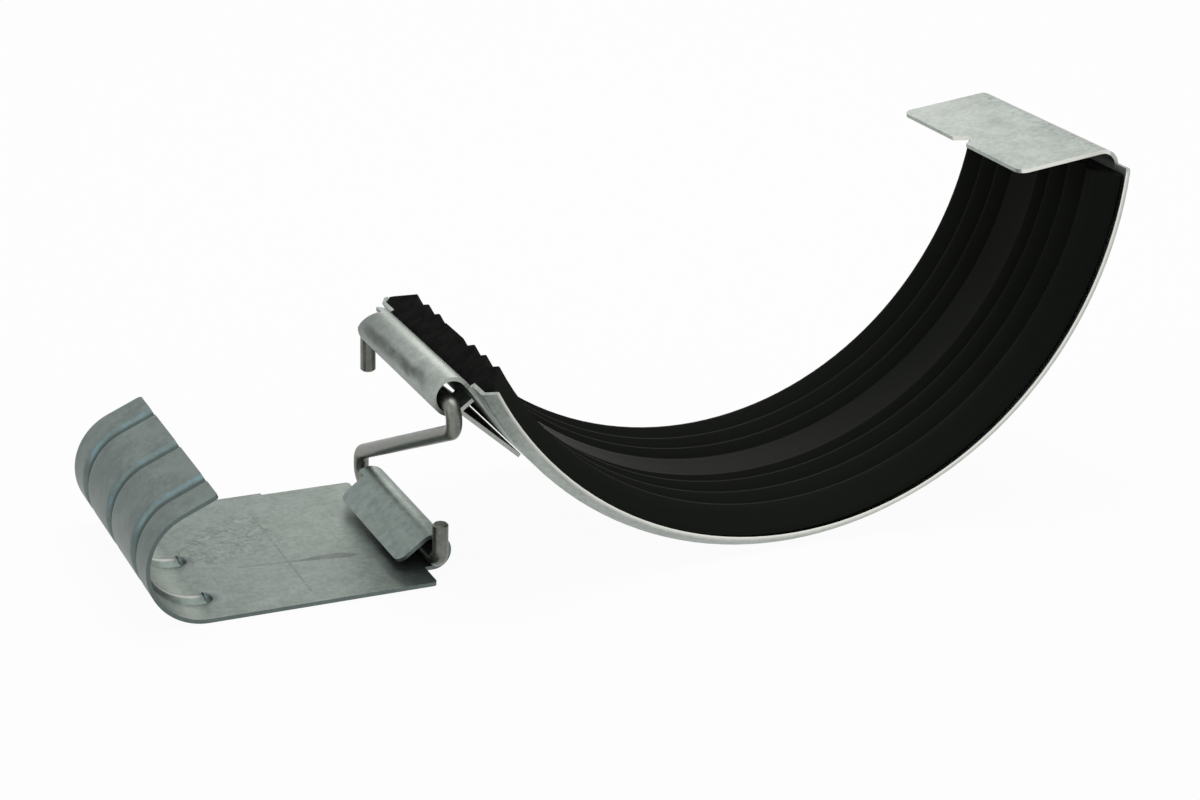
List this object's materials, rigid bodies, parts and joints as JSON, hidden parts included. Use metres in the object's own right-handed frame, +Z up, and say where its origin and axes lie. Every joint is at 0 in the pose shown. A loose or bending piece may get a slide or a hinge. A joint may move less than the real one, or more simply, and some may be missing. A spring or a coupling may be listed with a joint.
{
  "type": "gutter connector",
  "caption": "Half-round gutter joint clip: folded steel strap lined with a ribbed rubber gasket, closed by a lock plate with a hook, hung on a bent wire link.",
  "frame": {"origin": "centre of the half-round seat, midway along the gasket", "axes": "+X to the rear tab, +Y along the gutter's length, +Z up out of the half-round"},
  "size_m": [0.1901, 0.0563, 0.0686],
  "materials": {
    "galvanised_sheet": "galvanised, satin, with a faint cloudy spangle",
    "spring_wire": "drawn wire, satin",
    "rubber_lining": "matte"
  },
  "bodies": {
    "strap": {"strap": "galvanised_sheet", "gasket": "rubber_lining"},
    "wire_link": {"wire_link": "spring_wire"},
    "lock_plate": {"lock_plate": "galvanised_sheet"}
  },
  "joints": [
    {"name": "link_swing", "type": "hinge", "parent": "strap", "child": "wire_link", "pos_m": [-0.06581, 0, -0.03477], "axis": [0, 1, 0], "range_deg": [-30, 150]},
    {"name": "plate_swing", "type": "hinge", "parent": "wire_link", "child": "lock_plate", "pos_m": [-0.06581, 0, -0.06702], "axis": [0, 1, 0], "range_deg": [-90, 45]}
  ]
}
